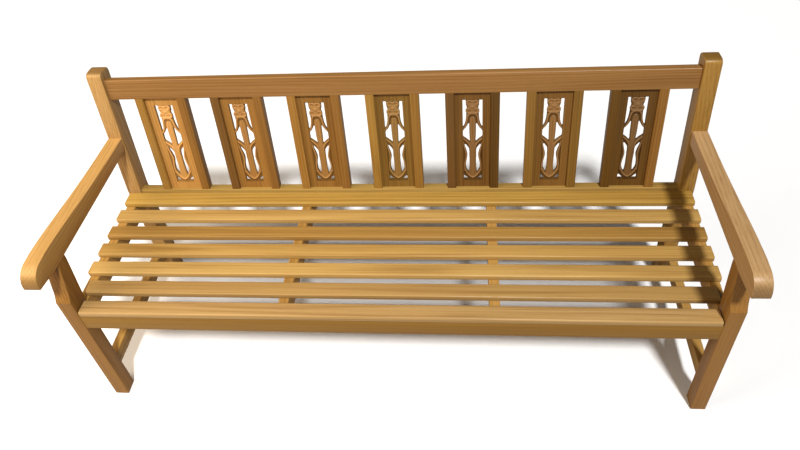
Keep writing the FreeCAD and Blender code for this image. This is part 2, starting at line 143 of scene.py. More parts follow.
# A Recipe is one material and the nodes that feed its shader
class Recipe:
    def __init__(self, name):
        self.material = bpy.data.materials.new(name)
        self.material.use_nodes = True
        self.tree = self.material.node_tree
        self.tree.nodes.clear()
        self.shader = self.tree.nodes.new("ShaderNodeBsdfPrincipled")
        output = self.tree.nodes.new("ShaderNodeOutputMaterial")
        self.tree.links.new(self.shader.outputs[0], output.inputs[0])

    def node(self, kind, settings=None, inputs=None, output=0):
        made = self.tree.nodes.new("ShaderNode" + kind)
        for key, value in (settings or {}).items():
            if key == "stops":
                ramp = made.color_ramp
                while len(ramp.elements) < len(value):
                    ramp.elements.new(0.5)
                for element, (spot, colour) in zip(ramp.elements, value):
                    element.position = spot
                    element.color = (*colour, 1)
            else:
                setattr(made, key, value)
        for key, value in (inputs or {}).items():
            if isinstance(value, Flow):
                self.tree.links.new(value.socket, made.inputs[key])
            else:
                made.inputs[key].default_value = value
        return Flow(self.tree, made.outputs[output])

    def split(self, vector):
        made = self.tree.nodes.new("ShaderNodeSeparateXYZ")
        self.tree.links.new(vector.socket, made.inputs[0])
        return [Flow(self.tree, output) for output in made.outputs]

    def smooth(self, value, low, high):
        return self.node("MapRange", {"interpolation_type": "SMOOTHSTEP"},
                         {"Value": value, "From Min": low, "From Max": high})

    def mix(self, share, first, second):
        return self.node("Mix", {"data_type": "RGBA"},
                         {0: share, 6: first, 7: second}, output=2)

    def feed(self, name, value):
        if isinstance(value, Flow):
            self.tree.links.new(value.socket, self.shader.inputs[name])
        else:
            self.shader.inputs[name].default_value = value


# Teak: each board has its own middle colour, and the tone tables paint shade into it as
# well; its dark and pale grain follow from that.
# Each noise is given as scale along the grain, scale across it, detail and roughness
teak = {
    "dark": (0.62, 0.55, 0.45),
    "pale": (1.20, 1.28, 1.45),
    "stops": (0.18, 0.5, 0.84),
    "broad": (0.7, 11, 2.0, 0.55),
    "streak": (1.8, 230, 3.0, 0.6),
    "fibre": (9, 1100, 2.0, 0.55),
    "pore": (45, 1500, 1.0, 0.55),
    "shares": {"streak": 0.75, "broad": 0.7, "ring": 0.08, "fibre": 0.4},
    "ring": 0.009,
    "ringWaver": 0.05,
    "poreEdge": (0.60, 0.70),
    "poreDark": 0.3,
    "endEdge": (0.6, 0.92),
    "endTone": 0.5,
    "endGrain": 0.6,
    "easedEdge": (0.02, 0.22),
    "easedTone": 1.2,
    "wear": 0.22,
    "roughness": 0.40,
    "bump": 0.14,
    "shine": 0.22,
    "coat": 0.03,
    "coatRoughness": 0.32,
}
grainOrder = {"X": (0, 1, 2), "Y": (1, 0, 2), "Z": (2, 0, 1)}


def teakFinish(name, along, tone, leaning=False, seed=0, carved=None):
    recipe = Recipe(name)
    draw = random.Random(seed)
    place = recipe.node("TexCoord", output=3)
    normal = recipe.node("NewGeometry", output=1)
    if leaning:
        turn = (math.radians(-lean["degrees"]), 0, 0)
        place = recipe.node("Mapping", {"vector_type": "TEXTURE"},
                            {"Vector": place, "Location": hinge, "Rotation": turn})
        normal = recipe.node("Mapping", {"vector_type": "TEXTURE"},
                             {"Vector": normal, "Rotation": turn})
    spot = recipe.split(place)
    axes = [spot[i] for i in grainOrder[along]]
    length, width, depth = [axis + draw.uniform(3, 9) for axis in axes]

    def grainNoise(run, fine, detail, rough):
        where = recipe.node("CombineXYZ", None,
                            {"X": length * run, "Y": width * fine, "Z": depth * fine})
        return recipe.node("TexNoise", None, {"Vector": where, "Scale": 1.0,
                           "Detail": detail, "Roughness": rough})

    broad, streak, fibre, pore = [grainNoise(*teak[kind])
                                  for kind in ("broad", "streak", "fibre", "pore")]

    # Growth rings, wide apart and soft, as teak shows them
    heart = (axes[1] + draw.uniform(0.05, 0.12), axes[2] + draw.uniform(0.04, 0.09))
    span = (heart[0] * heart[0] + heart[1] * heart[1]) ** 0.5 + broad * teak["ringWaver"]
    ring = recipe.node("Math", {"operation": "SINE"},
                       {0: span * (2 * math.pi / teak["ring"])})
    shares = teak["shares"]
    value = (0.5 + (streak - 0.5) * shares["streak"] + (broad - 0.5) * shares["broad"]
             + ring * shares["ring"] + (fibre - 0.5) * shares["fibre"])
    dark = tuple(c * f for c, f in zip(tone, teak["dark"]))
    pale = tuple(min(c * f, 1) for c, f in zip(tone, teak["pale"]))
    colour = recipe.node("ValToRGB", {"stops": list(zip(teak["stops"], (dark, tone, pale)))},
                         {"Fac": value})
    poreMask = recipe.smooth(pore, *teak["poreEdge"])
    colour = recipe.mix(poreMask * teak["poreDark"], colour, (*dark, 1))

    # End grain drinks more oil; eased edges are handled most
    facing = recipe.split(normal)
    endOn = recipe.smooth(abs(facing[grainOrder[along][0]]), *teak["endEdge"])
    colour = recipe.mix(endOn * teak["endGrain"], colour,
                        (*[c * teak["endTone"] for c in dark], 1))
    flat = [abs(side) for side in facing]
    eased = recipe.smooth(1 - flat[0].atLeast(flat[1]).atLeast(flat[2]), *teak["easedEdge"])
    worn = eased * (0.2 + 0.6 * broad)
    light = (*[min(c * teak["easedTone"], 1) for c in pale], 1)
    colour = recipe.mix(worn * teak["wear"], colour, light)
    if carved is not None:
        # The crests are painted paler, partly as fresh-cut wood and partly as a painted
        # highlight where the relief catches light
        middle, face, sill = carved
        halfWide = carving["halfOpen"] * mm
        halfTall = carving["tall"] * carving["stretch"] / 2 * mm
        inside = (recipe.smooth(abs(spot[0] - middle), halfWide, halfWide - 2 * mm)
                  * recipe.smooth(abs(spot[2] - sill - halfTall), halfTall,
                                  halfTall - 2 * mm))
        crest = recipe.smooth(spot[1], *[face + d * mm for d in carving["crestDepth"]])
        paleLitCrestColour = (*[c * carving["crestTone"] + more
                   for c, more in zip(tone, carving["crestLift"])], 1)
        colour = recipe.mix(crest * inside * carving["crestPaleAndLit"], colour, paleLitCrestColour)
        # The deep ground that does not face up is painted darker: partly stain gathered in
        # the hollows, partly painted shade in the recesses
        sunk = recipe.smooth(spot[1], *[face + d * mm for d in carving["sunkDepth"]])
        sunk = sunk * recipe.smooth(facing[2], 0.8, 0.5) * recipe.smooth(facing[1], 0.7, 0.3)
        colour = recipe.mix(sunk * carving["sunkDark"], colour,
                            (*[c * carving["sunkTone"] for c in dark], 1))
    recipe.feed("Base Color", colour)
    recipe.feed("Roughness", teak["roughness"] + (streak - 0.5) * 0.25 + poreMask * 0.15
                - worn * 0.1)
    relief = fibre * 0.5 + streak * 0.4 - poreMask * 0.6
    bump = recipe.node("Bump", None, {"Strength": teak["bump"], "Distance": 0.001,
                                      "Height": relief})
    recipe.feed("Normal", bump)
    recipe.feed("Specular IOR Level", teak["shine"])
    recipe.feed("Coat Weight", teak["coat"])
    recipe.feed("Coat Roughness", teak["coatRoughness"])
    return recipe.material


steel = {
    "dull": (0.42, 0.41, 0.38, 1),
    "bright": (0.62, 0.60, 0.55, 1),
    "cloud": 160.0,
    "scuff": 2400.0,
    "metallic": 0.95,
    "roughness": 0.32,
    "bump": 0.1,
}


def steelFinish(name):
    recipe = Recipe(name)
    place = recipe.node("TexCoord", output=3)
    cloud, scuff = [recipe.node("TexNoise", None, {"Vector": place, "Scale": steel[kind],
                                                   "Detail": detail})
                    for kind, detail in (("cloud", 3.0), ("scuff", 1.0))]
    recipe.feed("Base Color", recipe.mix(cloud, steel["dull"], steel["bright"]))
    recipe.feed("Metallic", steel["metallic"])
    recipe.feed("Roughness", steel["roughness"] + cloud * 0.2)
    recipe.feed("Normal", recipe.node("Bump", None, {"Strength": steel["bump"],
                                                     "Distance": 0.0004, "Height": scuff}))
    return recipe.material


def clearAll():
    if bpy.context.object and bpy.context.object.mode != "OBJECT":
        bpy.ops.object.mode_set(mode="OBJECT")
    bpy.ops.object.select_all(action="DESELECT")


def addBlock(name, low, high):
    clearAll()
    low, high = Vector(low), Vector(high)
    bpy.ops.mesh.primitive_cube_add(size=1, location=(low + high) / 2, scale=high - low)
    block = bpy.context.object
    block.name = block.data.name = name
    bpy.ops.object.transform_apply(location=True, rotation=True, scale=True)
    return block


def choose(block, test, kind="EDGE"):
    # Leaves the block in edit mode with only the wanted parts selected
    bpy.context.view_layer.objects.active = block
    if block.mode != "EDIT":
        bpy.ops.object.mode_set(mode="EDIT")
    bpy.ops.mesh.select_mode(type=kind)
    bpy.ops.mesh.select_all(action="DESELECT")
    mesh = bmesh.from_edit_mesh(block.data)
    items = {"VERT": mesh.verts, "EDGE": mesh.edges, "FACE": mesh.faces}[kind]
    for item in items:
        if test(item):
            item.select_set(True)
    bmesh.update_edit_mesh(block.data)


def edgeRuns(edge, axis):
    start, end = (v.co for v in edge.verts)
    run = end - start
    return abs(run[axis]) > 0.92 * run.length


def middleOf(edge):
    return (edge.verts[0].co + edge.verts[1].co) / 2


def rounded(block, radius, test, steps=3):
    choose(block, test)
    bpy.ops.mesh.bevel(offset=radius, offset_type="OFFSET", segments=steps,
                       affect="EDGES", clamp_overlap=True)
    bpy.ops.object.mode_set(mode="OBJECT")


def finishPiece(block, material, slot, *stands, leaning=False, angle=32):
    clearAll()
    block.select_set(True)
    bpy.context.view_layer.objects.active = block
    if leaning:
        block.matrix_world = upright.inverted()
        bpy.ops.object.transform_apply(location=True, rotation=True, scale=True)
    block.data.materials.clear()
    block.data.materials.append(material)
    bpy.ops.object.shade_smooth_by_angle(angle=math.radians(angle))
    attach(block, "root")
    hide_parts(*stands)
    block.select_set(False)


# Seat slats, number 1 at the back
slat = {
    "round": 5 * mm,
    "ease": 1.4 * mm,
    "tones": [(0.422, 0.245, 0.050), (0.465, 0.279, 0.081), (0.354, 0.194, 0.046),
              (0.450, 0.263, 0.071), (0.474, 0.284, 0.083), (0.393, 0.230, 0.072),
              (0.431, 0.259, 0.092)],
}


def makeSlats():
    for index, tone in enumerate(slat["tones"]):
        node = "seat_slat_%d" % (index + 1)
        low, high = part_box(node)
        block = addBlock("slat%d" % (index + 1), low, high)
        rounded(block, slat["round"],
                lambda e: edgeRuns(e, 0) and middleOf(e).z > high.z - mm, 4)
        rounded(block, slat["ease"],
                lambda e: abs(middleOf(e).x) > high.x - mm or middleOf(e).z < low.z + mm, 2)
        finishPiece(block, teakFinish("teakSlat%d" % (index + 1), "X", tone,
                                      seed=10 + index), "wood_slat", node)
    print("slats made")


# Rails, bearers and stretchers; lap is how far an end runs on into its neighbour
rail = {
    "ease": 1.6 * mm,
    "lap": 2 * mm,
    "bearerInset": 12 * mm,
    "topRound": 5 * mm,
    # The front rail's tone is painted darker than the other rails: painted shade on its
    # forward face, under the overhang of the front slat
    "frontShadedTone": (0.262, 0.128, 0.018),
    "lowTone": (0.40, 0.22, 0.055),
    "topTone": (0.293, 0.145, 0.042),
    "backTone": (0.367, 0.220, 0.052),
}


def makeRails():
    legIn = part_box("front_leg_right")[0].x
    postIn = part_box("rear_post_right")[0].x
    low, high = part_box("front_seat_rail")
    block = addBlock("frontSeatRail", (-legIn - rail["lap"], low.y, low.z),
                     (legIn + rail["lap"], high.y, high.z))
    rounded(block, rail["ease"], lambda e: edgeRuns(e, 0), 3)
    finishPiece(block, teakFinish("teakFrontRail", "X", rail["frontShadedTone"], seed=31),
                "wood_frame", "front_seat_rail")

    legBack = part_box("front_leg_right")[0].y + leg["deep"]
    for side in ("left", "right"):
        for kind, title, seed in (("side_seat_rail_", "sideRail", 33),
                                  ("side_stretcher_", "stretcher", 36)):
            low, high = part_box(kind + side)
            block = addBlock(title + side.title(),
                             (low.x, legBack - rail["lap"], low.z),
                             (high.x, hinge.y + rail["lap"], high.z))
            rounded(block, rail["ease"], lambda e: edgeRuns(e, 1), 3)
            finishPiece(block, teakFinish("teak" + title.title() + side.title(), "Y",
                                          rail["lowTone"], seed=seed + len(side)),
                        "wood_frame", kind + side)
        low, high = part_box("seat_bearer_" + side)
        block = addBlock("bearer" + side.title(),
                         (low.x, low.y + rail["bearerInset"], low.z),
                         (high.x, high.y - rail["bearerInset"], high.z))
        rounded(block, rail["ease"], lambda e: edgeRuns(e, 1), 3)
        finishPiece(block, teakFinish("teakBearer" + side.title(), "Y", rail["lowTone"],
                                      seed=44 + len(side)),
                    "wood_frame", "seat_bearer_" + side)

    low, high = leanBox("top_back_rail")
    block = addBlock("topRail", (-postIn - rail["lap"], low.y, low.z),
                     (postIn + rail["lap"], high.y, high.z))
    rounded(block, rail["topRound"],
            lambda e: edgeRuns(e, 0) and middleOf(e).z > high.z - mm, 4)
    rounded(block, rail["ease"],
            lambda e: edgeRuns(e, 0) and middleOf(e).z < low.z + mm, 3)
    finishPiece(block, teakFinish("teakTopRail", "X", rail["topTone"], leaning=True,
                                  seed=51), "wood_top_rail", "top_back_rail", leaning=True)

    low, high = leanBox("lower_back_rail")
    block = addBlock("lowerRail", (-postIn - rail["lap"], low.y, low.z),
                     (postIn + rail["lap"], high.y, high.z))
    rounded(block, rail["ease"], lambda e: edgeRuns(e, 0), 3)
    finishPiece(block, teakFinish("teakLowerRail", "X", rail["backTone"], leaning=True,
                                  seed=52), "wood_frame", "lower_back_rail", leaning=True)
    print("rails made")


# Stiles of the back, left to right. Their tones hold painted shade as well as wood: darker
# than the seat, as their faces look forward, and darker towards the right
stile = {
    "round": 3 * mm,
    "backRound": 1.2 * mm,
    "lap": 1 * mm,
    "tones": [(0.298, 0.153, 0.030), (0.254, 0.119, 0.025), (0.166, 0.078, 0.018),
              (0.256, 0.120, 0.026), (0.346, 0.171, 0.035), (0.262, 0.123, 0.026),
              (0.323, 0.171, 0.032), (0.285, 0.142, 0.028), (0.148, 0.070, 0.018),
              (0.110, 0.053, 0.010), (0.232, 0.118, 0.023), (0.223, 0.118, 0.023),
              (0.132, 0.063, 0.011), (0.279, 0.131, 0.028)],
}


def makeStiles():
    bottom = leanBox("lower_back_rail")[1].z
    top = leanBox("top_back_rail")[0].z
    for index, tone in enumerate(stile["tones"]):
        node = "back_stile_%d" % (index + 1)
        low, high = leanBox(node)
        block = addBlock("stile%d" % (index + 1), (low.x, low.y, bottom - stile["lap"]),
                         (high.x, high.y, top + stile["lap"]))
        rounded(block, stile["round"],
                lambda e: edgeRuns(e, 2) and middleOf(e).y < low.y + mm, 4)
        rounded(block, stile["backRound"],
                lambda e: edgeRuns(e, 2) and middleOf(e).y > high.y - mm, 2)
        finishPiece(block, teakFinish("teakStile%d" % (index + 1), "Z", tone,
                                      leaning=True, seed=60 + index),
                    "wood_stile", node, leaning=True)
    print("stiles made")


# Front legs: square below the seat, swept back above it. Front and back list pairs of
# height and distance from the front face, in millimetres
leg = {
    "deep": 48 * mm,
    "plain": 428 * mm,
    "top": 615 * mm,
    "ease": 2.6 * mm,
    "steps": [436, 448, 460, 475, 490, 496, 502, 508, 516, 526, 545, 570, 592, 604, 615],
    "front": [(490, 0), (496, 3.2), (502, 6.2), (508, 8.9), (516, 12.0), (526, 14.8),
              (545, 19.7), (615, 38)],
    "back": [(428, 48), (436, 52.4), (448, 57.8), (460, 60.6), (475, 62.6), (592, 77.0),
             (604, 78), (615, 78)],
    # The leg tones are painted darker than the seat: painted shade on their forward faces,
    # with the arms' shadow in it
    "tones": {"left": (0.292, 0.137, 0.029), "right": (0.288, 0.135, 0.029)},
}


def reading(line, height):
    # Straight line between the two listed heights around this one
    if height <= line[0][0]:
        return line[0][1]
    for (lowAt, lowIs), (highAt, highIs) in zip(line, line[1:]):
        if height <= highAt:
            return lowIs + (highIs - lowIs) * (height - lowAt) / (highAt - lowAt)
    return line[-1][1]


def outerEdge(edge):
    # An edge between a side face and any other face
    sides = [abs(face.normal.x) > 0.9 for face in edge.link_faces]
    return any(sides) and not all(sides)


def makeLegs():
    for side in ("left", "right"):
        node = "front_leg_" + side
        low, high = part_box(node)
        block = addBlock("frontLeg" + side.title(), (low.x, low.y, 0),
                         (high.x, low.y + leg["deep"], leg["plain"]))
        choose(block, lambda f: f.normal.z > 0.9, "FACE")
        last = leg["plain"] / mm
        for height in leg["steps"]:
            top = height * mm
            bpy.ops.mesh.extrude_region_move(
                TRANSFORM_OT_translate={"value": (0, 0, (height - last) * mm)})
            for line, isFront in ((leg["front"], True), (leg["back"], False)):
                move = (reading(line, height) - reading(line, last)) * mm
                middle = low.y + (reading(leg["front"], last)
                                  + reading(leg["back"], last)) / 2 * mm
                choose(block, lambda v: abs(v.co.z - top) < 0.1 * mm
                       and (v.co.y < middle) == isFront, "VERT")
                bpy.ops.transform.translate(value=(0, move, 0))
            choose(block, lambda f: f.normal.z > 0.9
                   and f.calc_center_median().z > top - mm, "FACE")
            last = height
        rounded(block, leg["ease"], lambda e: outerEdge(e) and middleOf(e).z > mm
                and middleOf(e).z < leg["top"] - mm, 3)
        rounded(block, leg["ease"], lambda e: middleOf(e).z < 0.1 * mm, 2)
        finishPiece(block, teakFinish("teakLeg" + side.title(), "Z", leg["tones"][side],
                                      seed=71 + len(side)),
                    "wood_leg", node, angle=18)
    print("legs made")


# Rear posts: upright to the seat, then leaning, rounded on top
post = {
    "deep": 60 * mm,
    "rise": 449 * mm,
    "ease": 2.6 * mm,
    "crownFront": 14.4 * mm,
    "crownBack": 18 * mm,
    # The right post is painted darker than the left: painted shade, as the right of the
    # bench gets less light
    "tones": {"left": (0.429, 0.244, 0.080), "right": (0.331, 0.175, 0.035)},
}


def makePosts():
    angle = math.radians(lean["degrees"])
    up = Vector((0, math.sin(angle), math.cos(angle)))
    for side in ("left", "right"):
        node = "rear_post_" + side
        low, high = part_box(node)
        block = addBlock("rearPost" + side.title(), (low.x, hinge.y, 0),
                         (high.x, hinge.y + post["deep"], hinge.z))
        choose(block, lambda v: v.co.z > hinge.z - mm and v.co.y > hinge.y + mm, "VERT")
        bpy.ops.transform.translate(value=(0, 0, -post["deep"] * math.tan(angle / 2)))
        choose(block, lambda f: f.normal.z > 0.9, "FACE")
        bpy.ops.mesh.extrude_region_move(
            TRANSFORM_OT_translate={"value": up * post["rise"]})
        crownTest = hinge + up * (post["rise"] - 4 * mm)
        rounded(block, post["crownBack"],
                lambda e: edgeRuns(e, 0) and (middleOf(e) - crownTest).dot(up) > 0
                and middleOf(e).y > crownTest.y + post["deep"] / 2, 6)
        rounded(block, post["crownFront"],
                lambda e: edgeRuns(e, 0) and (middleOf(e) - crownTest).dot(up) > 0
                and middleOf(e).y < crownTest.y + 4 * mm, 6)
        rounded(block, post["ease"], lambda e: outerEdge(e) and middleOf(e).z > mm, 3)
        rounded(block, post["ease"], lambda e: middleOf(e).z < 0.1 * mm, 2)
        finishPiece(block, teakFinish("teakPost" + side.title(), "Z",
                                      post["tones"][side], seed=81 + len(side)),
                    "wood_post", node, angle=18)
    print("posts made")


# Armrests: swelling towards the front, rolled over at the nose. Swell lists pairs of
# distance from the nose and height gained, in millimetres
arm = {
    "under": 615 * mm,
    "thick": 44 * mm,
    "swell": [(0, 21), (80, 26), (110, 25.4), (150, 23.8), (195, 20.8), (260, 15.6),
              (320, 11), (400, 6), (480, 2.5), (560, 0)],
    "lift": 10 * mm,
    "nose": 45 * mm,
    "lip": 8 * mm,
    "ease": 3.2 * mm,
    "lap": 8 * mm,
    "tones": {"left": (0.479, 0.265, 0.079), "right": (0.450, 0.270, 0.116)},
}


def makeArms():
    for side in ("left", "right"):
        node = "armrest_" + side
        low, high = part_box(node)
        back = hinge.y + (arm["under"] - hinge.z) * math.tan(math.radians(lean["degrees"]))
        block = addBlock("arm" + side.title(), (low.x, low.y, arm["under"]),
                         (high.x, back + arm["lap"], arm["under"] + arm["thick"]))
        for run, _ in arm["swell"][1:-1]:
            choose(block, lambda f: True, "FACE")
            bpy.ops.mesh.bisect(plane_co=(0, low.y + run * mm, 0), plane_no=(0, 1, 0))
        for run, swell in arm["swell"]:
            at = low.y + run * mm
            choose(block, lambda v: v.co.z > arm["under"] + mm
                   and abs(v.co.y - at) < mm, "VERT")
            bpy.ops.transform.translate(value=(0, 0, swell * mm))
        choose(block, lambda v: v.co.z < arm["under"] + mm and v.co.y < low.y + mm, "VERT")
        bpy.ops.transform.translate(value=(0, 0, arm["lift"]))
        rounded(block, arm["nose"],
                lambda e: edgeRuns(e, 0) and middleOf(e).y < low.y + mm
                and middleOf(e).z > arm["under"] + arm["thick"], 12)
        rounded(block, arm["lip"],
                lambda e: edgeRuns(e, 0) and middleOf(e).y < low.y + mm
                and middleOf(e).z < arm["under"] + 2 * arm["lift"], 4)
        rounded(block, arm["ease"],
                lambda e: outerEdge(e) and middleOf(e).y < back, 3)
        finishPiece(block, teakFinish("teakArm" + side.title(), "Y", arm["tones"][side],
                                      seed=91 + len(side)),
                    "wood_arm", node, angle=24)
    print("arms made")


# Carved panels: flower, drooping leaves and stem, cut from one board. Points are across
# from the middle and up from the bottom of the opening, in millimetres, and a crest also
# gives its radius and how full it is at each point
carving = {
    "halfOpen": 30.5,
    "tall": 291.5,
    "stretch": 1.0309,
    "margin": 24.5,
    "boardLap": 4 * mm,
    "sideGap": 1 * mm,
    "openRound": 1.2 * mm,
    "backInset": 0.6 * mm,
    "rim": 2,
    "ground": 4.5,
    "groundRound": 0.4 * mm,
    "raised": 2.4,
    "raisedRound": 1.6 * mm,
    "crestSet": 0.2,
    "fluteSet": 0.9,
    "voxel": 1.0 * mm,
    "keep": 0.55,
    "sharpHoles": [
        [(31, 290.5), (20.5, 290.5), (20.3, 283), (19.8, 273), (16.8, 263), (20, 253),
         (19.2, 243), (19.6, 232), (21, 218), (24, 206), (28, 197.5), (31, 194)],
        [(30, 3.5), (30, 18), (25, 17.5), (18, 10), (10.5, 3.5)],
    ],
    "softHoles": [
        [(12, 209), (17, 202), (22.5, 193), (28, 187), (30.8, 181), (30.8, 163),
         (27, 158.5), (21, 154), (14, 147.5), (9, 144), (9, 160), (9.6, 180),
         (10.4, 200)],
        [(25, 134), (25.4, 127), (21.6, 114), (18.8, 103), (17.6, 95), (18.8, 84),
         (21.2, 72), (22.4, 58), (21.6, 46), (18, 37), (13, 30.5), (10.6, 33),
         (10.2, 60), (10.2, 90), (10.6, 108), (12, 119), (17.5, 128)],
    ],
    "stem": [(0, 230), (5.5, 228.5), (8.2, 222), (9, 200), (8.4, 165), (7.6, 148),
             (8.4, 122), (9.6, 96), (8.8, 78), (9.2, 50), (10.6, 30), (8, 13), (0, 8)],
    "flower": [(0, 289), (10, 288), (16, 283), (17, 275), (14.5, 265), (16.5, 256),
               (15, 246), (8, 241), (0, 240)],
    "crests": {
        "droopingLeaf": (2.9, [(0, 245.5, 1), (7.5, 243.5, 1), (14, 237, 1),
                               (17, 227, 1), (18.6, 214, 1), (21.8, 202.5, 1),
                               (26.3, 194.5, 0.9), (31, 188.5, 0.6)]),
        "risingLeaf": (2.8, [(31, 157, 0.6), (24.5, 150.5, 0.9), (16, 142.5, 1),
                             (10.5, 133.5, 1), (8, 121, 0.7), (7.2, 108, 0.3)]),
        "sideLeaf": (2.5, [(31, 149, 0.5), (28.6, 137, 0.8), (25.6, 122, 1),
                           (22.6, 108, 1), (21, 95, 1), (22, 82, 1), (24.2, 70, 1),
                           (25.8, 57, 1), (25.8, 45, 0.9), (27, 36, 0.5)]),
        "footLeaf": (2.9, [(27.5, 47, 0.4), (23.5, 38, 0.9), (17.5, 26.5, 1),
                           (9.5, 16, 1), (0, 9.5, 1)]),
        "cap": (3.5, [(0, 281, 0.8), (3.5, 286.5, 1), (10, 288.3, 1), (16, 285.5, 1),
                      (16.8, 279, 1), (12, 275.6, 0.9), (8.5, 278.5, 0.6)]),
        "petal": (3.4, [(9, 258.5, 0.7), (15.5, 260, 1), (18.2, 254.5, 1),
                        (16, 248, 1), (9.5, 245.5, 1), (3.5, 248.5, 0.9),
                        (0.5, 253, 0.6)]),
        "flute": (1.7, [(3.2, 226, 0.7), (4.6, 215, 1), (4.8, 190, 1), (4.2, 165, 1),
                        (3.0, 140, 0.8), (1.8, 112, 0.3)]),
    },
    # Crest paleness: partly fresh-cut wood, partly a painted highlight
    "crestDepth": (3.4, 1.0),
    "crestTone": 1.3,
    "crestLift": (0.10, 0.07, 0.05),
    "crestPaleAndLit": 0.75,
    # Sunk ground darkening: partly stain in the hollows, partly painted shade
    "sunkDepth": (2.2, 6.0),
    "sunkTone": 0.35,
    "sunkDark": 0.7,
    "budAt": 267,
    "bud": 8.5,
    "budFlat": 0.52,
    "swirl": {"knots": 15, "turn": 0.62, "start": 1.2, "growth": 0.42, "radius": 1.0,
              "front": 1.6},
    "budRing": {"knots": 13, "turn": 0.5236, "wide": 10.8, "tall": 10.2, "radius": 2.0,
                "front": 3.0},
    # The panel tones step darker from left to right: painted shade, as the right of the back
    # gets less light
    "tones": [(0.494, 0.247, 0.061), (0.321, 0.152, 0.032), (0.280, 0.134, 0.028),
              (0.221, 0.115, 0.022), (0.177, 0.083, 0.018), (0.192, 0.090, 0.019),
              (0.128, 0.060, 0.012)],
}


def carvedCurve(name, lines, thick, rounding, at, closed=True):
    # Lines lie in the plane of the board; the curve becomes a solid mesh
    clearAll()
    data = bpy.data.curves.new(name, "CURVE")
    data.dimensions = "2D" if closed else "3D"
    data.resolution_u = 6
    rise = carving["stretch"] * mm
    if closed:
        data.fill_mode = "BOTH"
        data.extrude = thick / 2 - rounding
        data.bevel_depth = rounding
        data.bevel_resolution = 2
    else:
        data.bevel_depth = thick
        data.bevel_resolution = 3
        data.use_fill_caps = True
    for kind, points in lines:
        line = data.splines.new("BEZIER")
        line.bezier_points.add(len(points) - 1)
        for knot, point in zip(line.bezier_points, points):
            knot.co = (point[0] * mm, point[1] * rise, 0)
            knot.handle_left_type = knot.handle_right_type = kind
            knot.radius = point[2] if len(point) > 2 else 1
        line.use_cyclic_u = closed
    made = bpy.data.objects.new(name, data)
    bpy.context.scene.collection.objects.link(made)
    made.matrix_world = Matrix.Translation(at) @ Matrix.Rotation(math.pi / 2, 4, "X")
    made.select_set(True)
    bpy.context.view_layer.objects.active = made
    bpy.ops.object.convert(target="MESH")
    bpy.ops.object.transform_apply(location=True, rotation=True, scale=True)
    return bpy.context.object


def mirrored(points):
    return [(-point[0], *point[1:]) for point in points]


def budLines():
    # The swirl on the bud and the ring around it, as loops about the same middle
    swirl, ring = carving["swirl"], carving["budRing"]
    wound = []
    for step in range(swirl["knots"]):
        turn = step * swirl["turn"]
        reach = swirl["start"] + step * swirl["growth"]
        wound.append((reach * math.sin(turn), carving["budAt"] + reach * math.cos(turn), 1))
    around = [(ring["wide"] * math.sin(step * ring["turn"]),
               carving["budAt"] + ring["tall"] * math.cos(step * ring["turn"]), 1)
              for step in range(ring["knots"])]
    return ("swirl", wound, swirl), ("budRing", around, ring)


def makeFigure(face, back, floorLine):
    # Everything inside the opening, joined and cut as one solid
    ground = face + carving["ground"] * mm
    edge = carving["halfOpen"] + carving["rim"]
    under, over = -carving["rim"], carving["tall"] + carving["rim"]
    lines = [("VECTOR", [(-edge, under), (edge, under), (edge, over), (-edge, over)])]
    for kind, holes in (("VECTOR", carving["sharpHoles"]), ("AUTO", carving["softHoles"])):
        for hole in holes:
            lines += [(kind, hole), (kind, mirrored(hole)[::-1])]
    middle = Vector((0, (ground + back) / 2, floorLine))
    parts = [carvedCurve("groundPlate", lines, back - ground, carving["groundRound"],
                         middle)]
    raised = face + carving["raised"] * mm
    middle = Vector((0, (raised + back) / 2, floorLine))
    for name in ("stem", "flower"):
        outline = carving[name] + mirrored(carving[name][1:-1])[::-1]
        parts.append(carvedCurve(name, [("AUTO", outline)], back - raised,
                                 carving["raisedRound"], middle))
    for name, (radius, points) in carving["crests"].items():
        inset = carving["fluteSet"] if name == "flute" else carving["crestSet"]
        front = face + (radius + inset) * mm
        for run in (points, mirrored(points)):
            parts.append(carvedCurve(name, [("AUTO", run)], radius * mm, 0,
                                     Vector((0, front, floorLine)), closed=False))
    clearAll()
    budPlace = (0, ground - 0.5 * mm, floorLine + carving["budAt"] * carving["stretch"] * mm)
    bpy.ops.mesh.primitive_uv_sphere_add(segments=24, ring_count=14, location=budPlace,
                                         radius=carving["bud"] * mm,
                                         scale=(1, carving["budFlat"], 1))
    parts.append(bpy.context.object)
    for name, points, line in budLines():
        front = face + line["front"] * mm
        parts.append(carvedCurve(name, [("AUTO", points)], line["radius"] * mm, 0,
                                 Vector((0, front, floorLine)), closed=False))
    clearAll()
    for part in parts:
        part.select_set(True)
    bpy.context.view_layer.objects.active = parts[0]
    bpy.ops.object.join()
    figure = bpy.context.object
    figure.name = "carvedFigure"
    bpy.ops.object.transform_apply(location=True, rotation=True, scale=True)
    for kind, values in (("REMESH", {"mode": "VOXEL", "voxel_size": carving["voxel"]}),
                         ("SMOOTH", {"factor": 0.5, "iterations": 3}),
                         ("DECIMATE", {"ratio": carving["keep"]})):
        bpy.ops.object.modifier_add(type=kind)
        step = figure.modifiers[-1]
        for key, value in values.items():
            setattr(step, key, value)
        bpy.ops.object.modifier_apply(modifier=step.name)
    return figure


